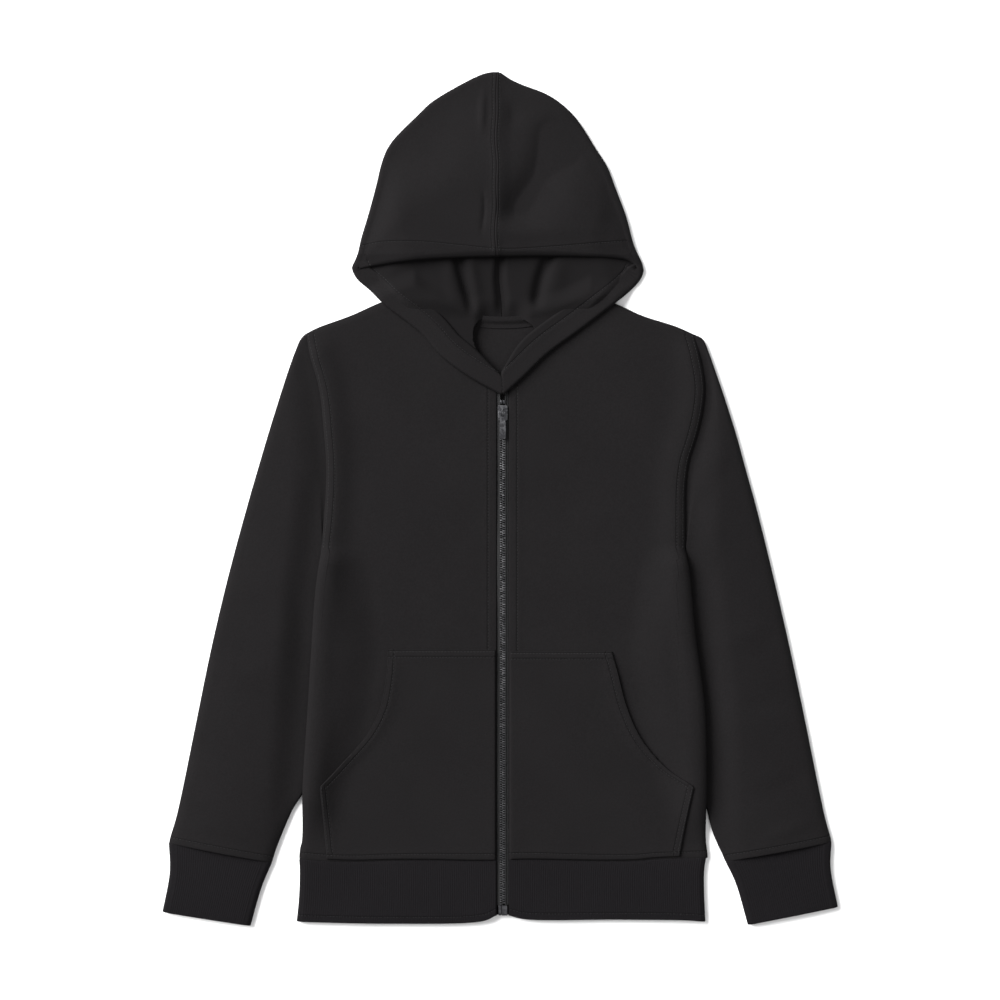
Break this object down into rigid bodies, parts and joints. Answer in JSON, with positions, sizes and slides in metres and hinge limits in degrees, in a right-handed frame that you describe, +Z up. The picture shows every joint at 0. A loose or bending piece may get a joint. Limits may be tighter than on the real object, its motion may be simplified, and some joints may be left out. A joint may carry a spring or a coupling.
{
  "type": "zip up hoodie",
  "caption": "Long-sleeved hooded sweatshirt laid flat, front up and zipped to the neck, with split front pockets and ribbed cuffs and hem.",
  "frame": {"origin": "centre of the garment's outline, on the flat surface that it lies on", "axes": "+X towards the viewer's right across the body, +Y from the hem to the top of the hood, +Z up out of the front"},
  "size_m": [0.7395, 0.9373, 0.0165],
  "materials": {
    "fleece": "matte brushed fleece knit, near black",
    "rib": "matte fine rib knit, near black",
    "zip_tape": "black woven tape",
    "zip_metal": "dark gunmetal, satin"
  },
  "bodies": {
    "garment": {"back": "fleece", "front_left": "fleece", "front_right": "fleece", "sleeve_left": "fleece", "sleeve_right": "fleece", "hood_left": "fleece", "hood_right": "fleece", "pocket_left": "fleece", "pocket_right": "fleece", "hem_back": "rib", "hem_front_left": "rib", "hem_front_right": "rib", "cuff_left": "rib", "cuff_right": "rib", "zip_tape_left": "zip_tape", "zip_tape_right": "zip_tape", "zip_chain": "zip_metal", "zip_slider": "zip_metal", "zip_stop_left": "zip_metal", "zip_stop_right": "zip_metal", "zip_pin": "zip_metal", "zip_box": "zip_metal"},
    "pull_tab": {"zip_pull_tab": "zip_metal"}
  },
  "joints": [
    {"name": "pull_tab_hinge", "type": "hinge", "parent": "garment", "child": "pull_tab", "pos_m": [0.003, 0.095, 0.0091], "axis": [-1, 0, 0], "range_deg": [0, 150]}
  ]
}
